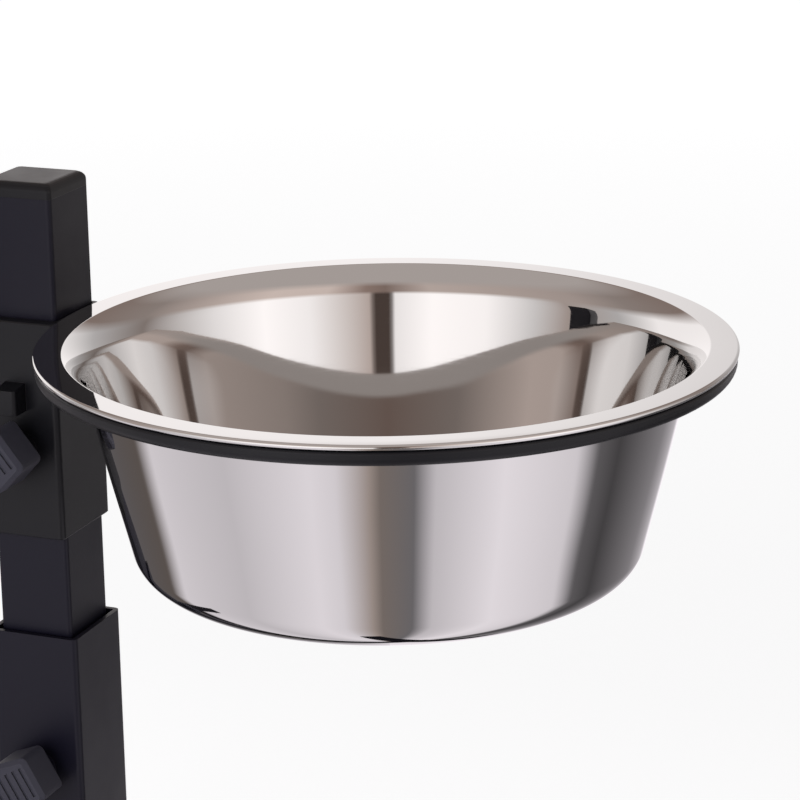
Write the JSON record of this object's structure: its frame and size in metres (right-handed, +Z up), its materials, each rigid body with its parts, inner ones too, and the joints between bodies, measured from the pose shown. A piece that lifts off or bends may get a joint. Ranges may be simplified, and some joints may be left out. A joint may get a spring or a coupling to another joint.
{
  "type": "dog feeder stand",
  "caption": "Free-standing height-adjustable feeder: telescoping square column on an H-shaped base, clamp knobs, and ring brackets that hold lift-out stainless bowls on each side.",
  "frame": {"origin": "on the floor under the axis of the column, which is the middle of the footprint", "axes": "+Z up; the bowls lie along X, one on each side; the clamp knobs face the front, -Y"},
  "size_m": [0.4734, 0.266, 0.3637],
  "materials": {
    "coated_steel": "satin black coating with a fine texture",
    "black_plastic": "satin moulded plastic",
    "knob_plastic": "satin moulded plastic, grooved front",
    "foot_rubber": "matte",
    "nylon": "smooth nylon",
    "zinc_steel": "zinc plated",
    "brass": "turned",
    "stainless": "mirror-polished stainless steel"
  },
  "bodies": {
    "base": {"crossbar": "coated_steel", "left_rail": "coated_steel", "right_rail": "coated_steel", "front_left_end_cap": "black_plastic", "front_right_end_cap": "black_plastic", "back_left_end_cap": "black_plastic", "back_right_end_cap": "black_plastic", "front_left_foot": "foot_rubber", "front_right_foot": "foot_rubber", "back_left_foot": "foot_rubber", "back_right_foot": "foot_rubber", "foot_screws": "zinc_steel", "left_crossbar_plug": "nylon", "right_crossbar_plug": "nylon", "rail_bolts": "zinc_steel", "post_socket": "black_plastic", "socket_screws": "zinc_steel", "post_screws": "zinc_steel", "outer_tube": "coated_steel", "guide_bush": "nylon", "lower_insert": "brass"},
    "column": {"inner_tube": "coated_steel", "top_cap": "black_plastic", "guide_foot": "nylon"},
    "bracket": {"collar": "black_plastic", "right_ring": "black_plastic", "left_ring": "black_plastic", "upper_insert": "brass"},
    "lower_clamp_pad": {"lower_pad": "nylon"},
    "lower_clamp_knob": {"lower_screw": "zinc_steel", "lower_knob": "knob_plastic"},
    "upper_clamp_pad": {"upper_pad": "nylon"},
    "upper_clamp_knob": {"upper_screw": "zinc_steel", "upper_knob": "knob_plastic"},
    "right_bowl": {"right_bowl": "stainless"},
    "left_bowl": {"left_bowl": "stainless"}
  },
  "joints": [
    {"name": "column_slide", "type": "slide", "parent": "base", "child": "column", "axis": [0, 0, 1], "range_m": [-0.016, 0.085]},
    {"name": "collar_slide", "type": "slide", "parent": "column", "child": "bracket", "axis": [0, 0, 1], "range_m": [-0.016, 0.04]},
    {"name": "lower_pad_press", "type": "slide", "parent": "base", "child": "lower_clamp_pad", "axis": [0, -1, 0], "range_m": [0, 0.0015]},
    {"name": "lower_knob_turn", "type": "hinge", "parent": "lower_clamp_pad", "child": "lower_clamp_knob", "pos_m": [0, -0.02, 0.16], "axis": [0, -1, 0], "range_deg": [0, 540]},
    {"name": "upper_pad_press", "type": "slide", "parent": "bracket", "child": "upper_clamp_pad", "axis": [0, -1, 0], "range_m": [0, 0.0015]},
    {"name": "upper_knob_turn", "type": "hinge", "parent": "upper_clamp_pad", "child": "upper_clamp_knob", "pos_m": [0, -0.02, 0.275], "axis": [0, -1, 0], "range_deg": [0, 540]},
    {"name": "right_bowl_lift", "type": "slide", "parent": "bracket", "child": "right_bowl", "axis": [0, 0, 1], "range_m": [0, 0.1]},
    {"name": "left_bowl_lift", "type": "slide", "parent": "bracket", "child": "left_bowl", "axis": [0, 0, 1], "range_m": [0, 0.1]}
  ],
  "couplings": [
    {"joint": "lower_pad_press", "follows": "lower_knob_turn", "m_per_rad": 0.000159},
    {"joint": "upper_pad_press", "follows": "upper_knob_turn", "m_per_rad": 0.000159}
  ]
}
